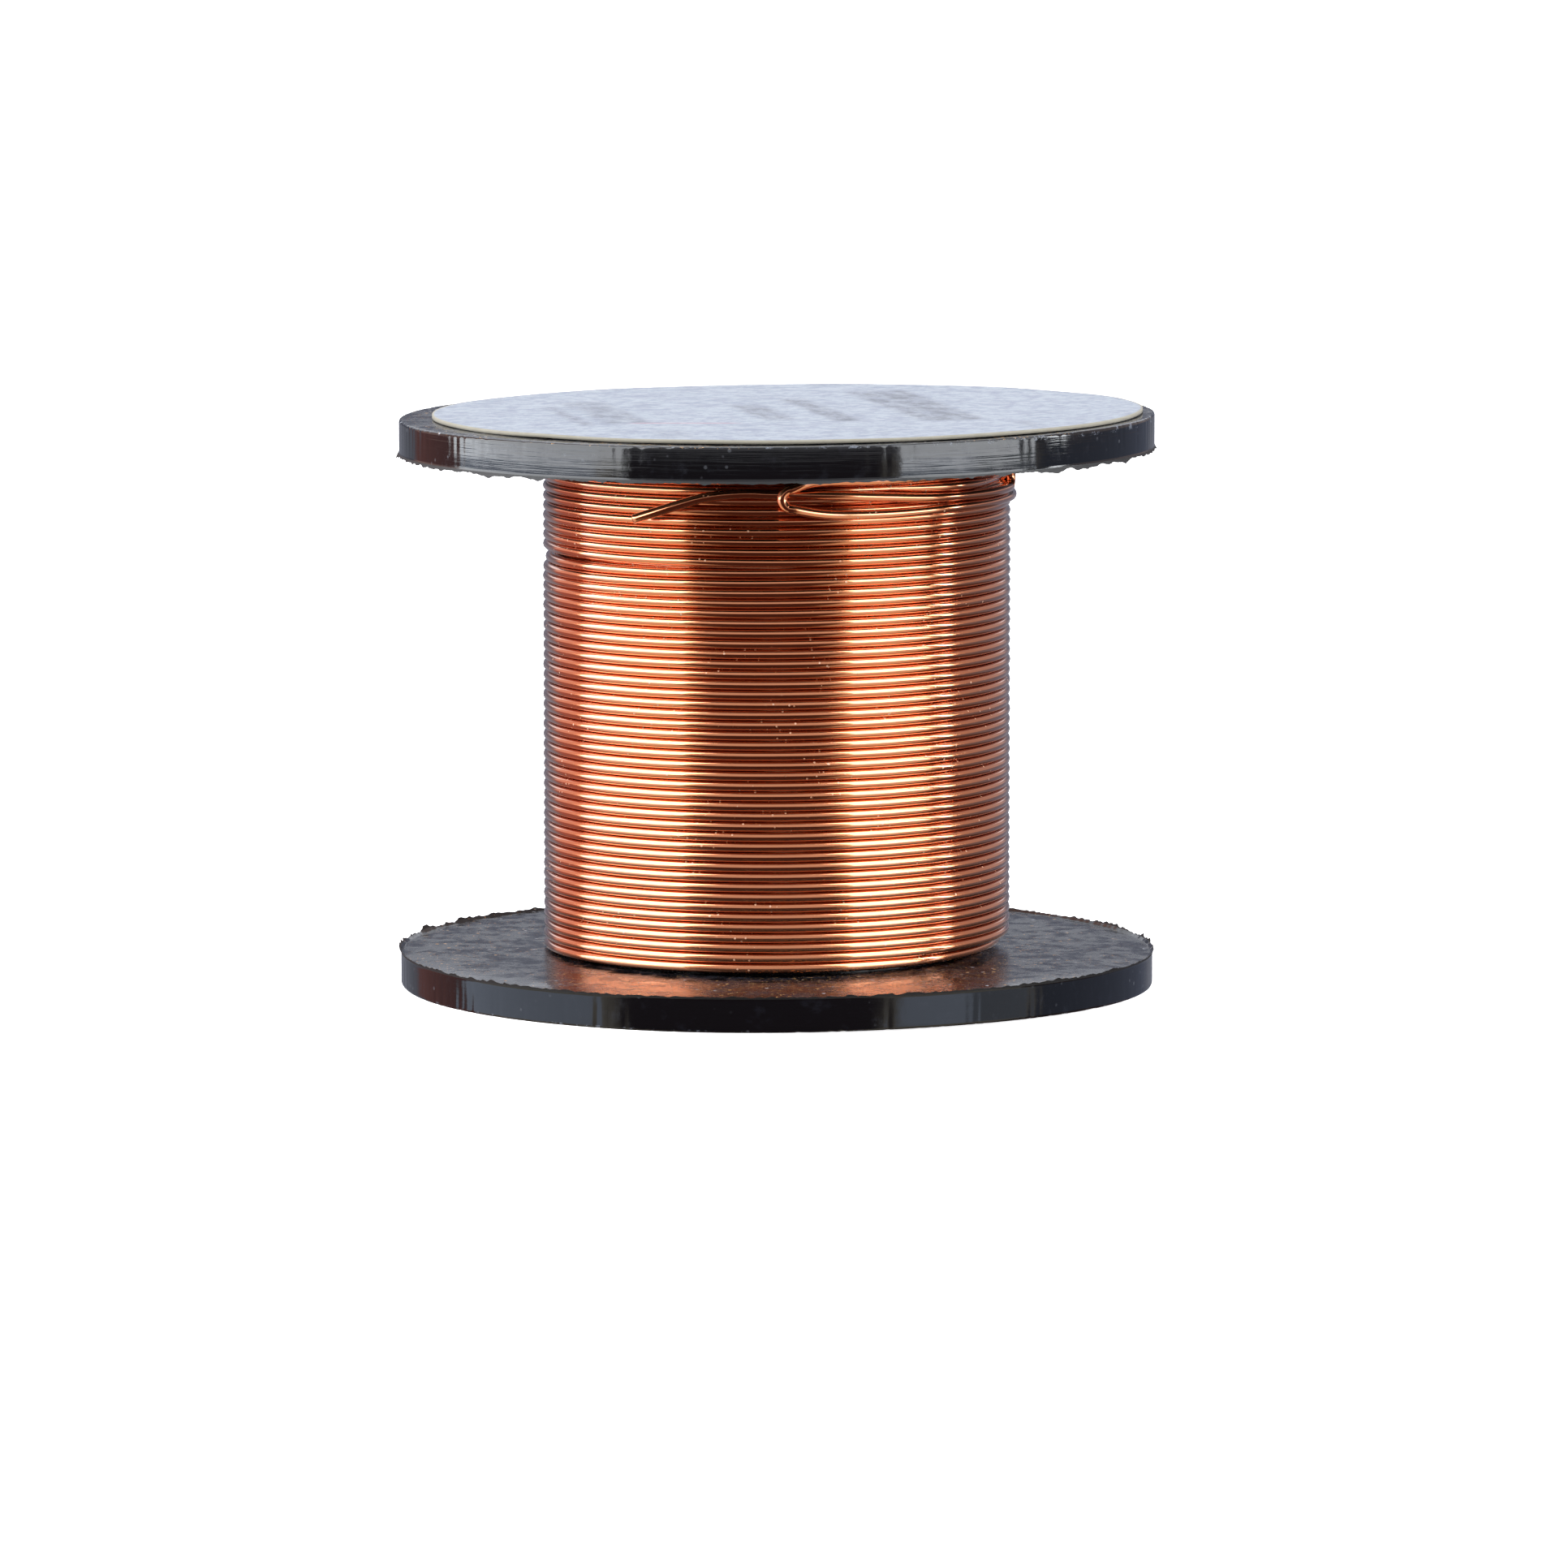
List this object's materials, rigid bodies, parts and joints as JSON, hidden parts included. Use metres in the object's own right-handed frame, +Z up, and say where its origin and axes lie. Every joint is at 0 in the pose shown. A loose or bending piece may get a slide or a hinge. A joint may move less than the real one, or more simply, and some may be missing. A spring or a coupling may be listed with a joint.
{
  "type": "wire spool",
  "caption": "Small upright plastic reel with two thin round flanges, close-wound with enamelled copper wire whose end is folded back and locked under the upper flange.",
  "frame": {"origin": "on the spindle axis, at the underside of the lower flange", "axes": "+Z up along the spindle axis, -Y towards the front, where the wire's free end is, +X to the right of someone facing the front"},
  "size_m": [0.04, 0.04, 0.0304],
  "materials": {
    "reel_plastic": "semi-gloss moulded black plastic",
    "label_paper": "matt pale blue-white paper with faded grey marks",
    "copper_wire": "bright copper under clear enamel"
  },
  "bodies": {
    "reel": {"lower_flange": "reel_plastic", "upper_flange": "reel_plastic", "barrel": "reel_plastic", "paper_label": "label_paper", "wire_layer_1": "copper_wire", "wire_layer_2": "copper_wire", "wire_layer_3": "copper_wire", "wire_layer_4": "copper_wire", "tie_off_wire": "copper_wire"},
    "wire_end": {"wire_tail": "copper_wire"}
  },
  "joints": [
    {"name": "wire_tail_bend", "type": "hinge", "parent": "reel", "child": "wire_end", "pos_m": [-0.00067, -0.0127, 0.0271], "axis": [0, 0, 1], "range_deg": [0, 75]}
  ]
}
